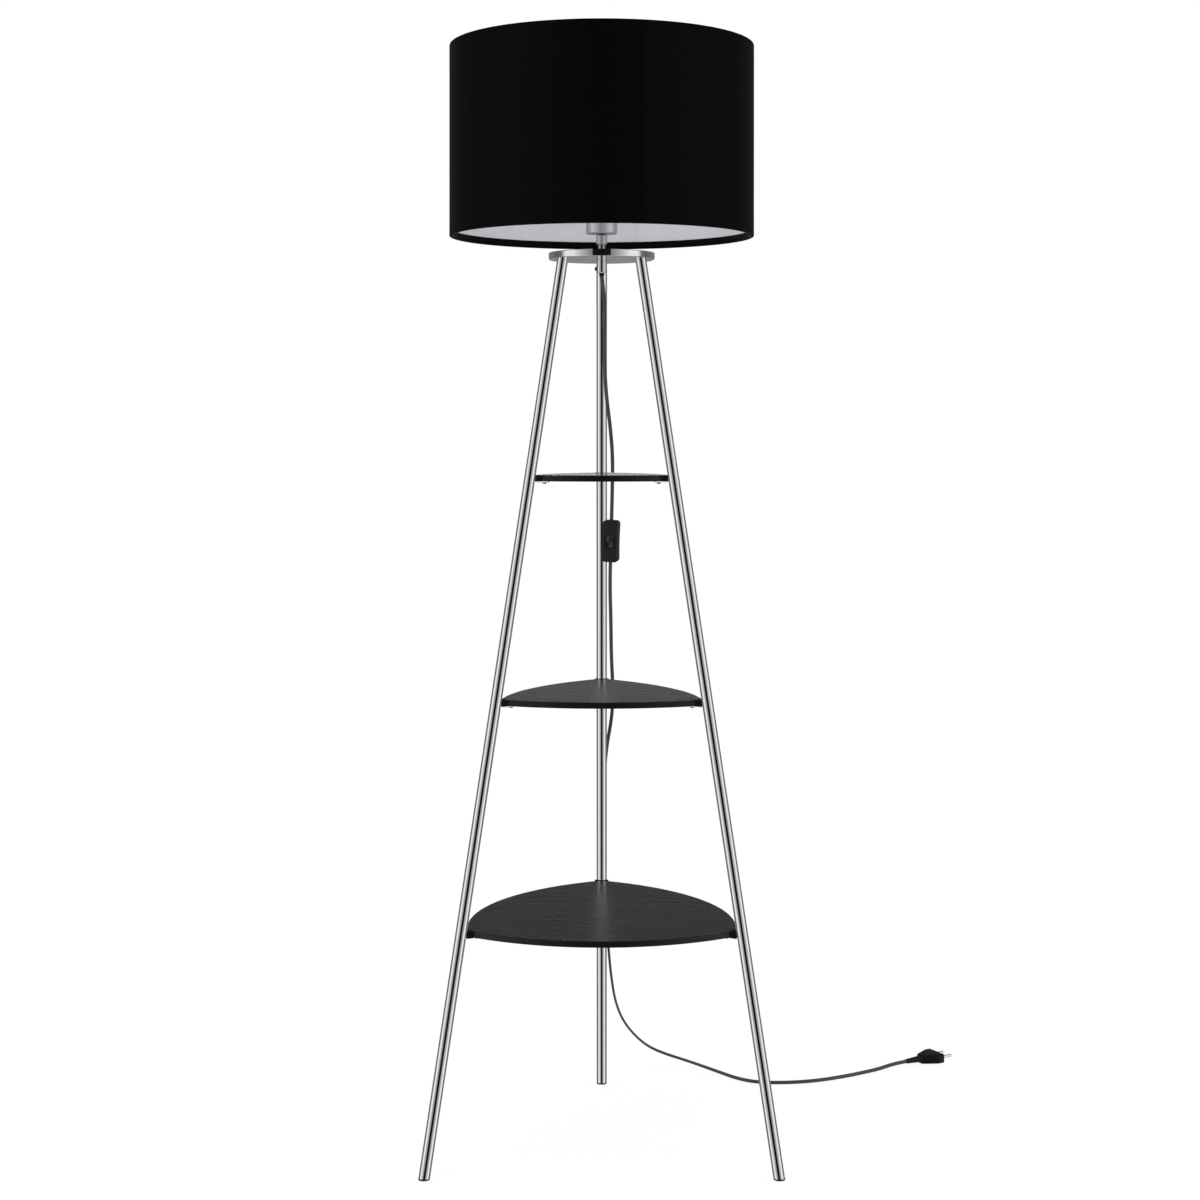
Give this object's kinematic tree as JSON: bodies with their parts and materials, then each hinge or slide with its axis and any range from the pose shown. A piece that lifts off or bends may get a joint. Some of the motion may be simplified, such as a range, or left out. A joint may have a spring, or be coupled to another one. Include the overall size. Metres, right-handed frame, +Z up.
{
  "type": "floor lamp",
  "caption": "Floor lamp on a tripod of chrome tubes with dark shelves between the legs and a black drum shade lined in white, with a cord, an in-line rocker switch and a plug.",
  "frame": {"origin": "centre of the lamp's footprint, without its cord, on the floor", "axes": "+X to the right, +Y from the front towards the rear leg, +Z up"},
  "size_m": [0.752, 0.5865, 1.444],
  "materials": {
    "chrome_metal": "polished",
    "steel": "satin",
    "white_wire": "satin",
    "shelf_board": "satin, faint grain",
    "black_plastic": "satin",
    "holder_plastic": "gloss",
    "brass": "satin",
    "cord_jacket": "satin",
    "shade_cover": "woven",
    "shade_lining": "matt, white"
  },
  "bodies": {
    "root": {"centre_contact": "brass", "cord_grip": "chrome_metal", "cord_inside": "cord_jacket", "cord_lower": "cord_jacket", "cord_sleeve": "black_plastic", "cord_upper": "cord_jacket", "entry_bush": "black_plastic", "glide_left": "black_plastic", "glide_rear": "black_plastic", "glide_right": "black_plastic", "grip_screw": "black_plastic", "holder_cup": "chrome_metal", "holder_insulator": "holder_plastic", "holder_skirt": "holder_plastic", "leg_inserts": "steel", "leg_left": "chrome_metal", "leg_rear": "chrome_metal", "leg_right": "chrome_metal", "leg_screws": "steel", "plug_body": "black_plastic", "plug_pins": "chrome_metal", "plug_relief": "black_plastic", "rim_block": "black_plastic", "rocker_pin": "steel", "saddles_low": "black_plastic", "saddles_mid": "black_plastic", "saddles_top": "black_plastic", "screw_shell": "brass", "shade_ring": "holder_plastic", "shelf_low": "shelf_board", "shelf_mid": "shelf_board", "shelf_screws_low": "steel", "shelf_screws_mid": "steel", "shelf_screws_top": "steel", "shelf_top": "shelf_board", "stem": "steel", "stem_collar": "chrome_metal", "stem_nut": "steel", "stem_washer": "steel", "switch_base": "black_plastic", "switch_contacts": "brass", "switch_cover": "black_plastic", "switch_screws": "steel", "tabs_low": "chrome_metal", "tabs_mid": "chrome_metal", "tabs_top": "chrome_metal", "terminals": "brass", "top_plate": "chrome_metal"},
    "shade": {"shade_arms": "white_wire", "shade_hub": "white_wire", "carrier_ring": "white_wire", "shade_wire_lower": "white_wire", "shade_wire_upper": "white_wire", "shade_fabric": "shade_cover", "shade_liner": "shade_lining"},
    "rocker": {"switch_rocker": "black_plastic"}
  },
  "joints": [
    {"name": "shade_turn", "type": "hinge", "parent": "root", "child": "shade", "pos_m": [0, -0.03243, 1.2378], "axis": [0, 0, 1], "continuous": true},
    {"name": "rocker_tip", "type": "hinge", "parent": "root", "child": "rocker", "pos_m": [0.01145, 0.06264, 0.78818], "axis": [0.9653, -0.257, -0.0454], "range_deg": [0, 14]}
  ]
}
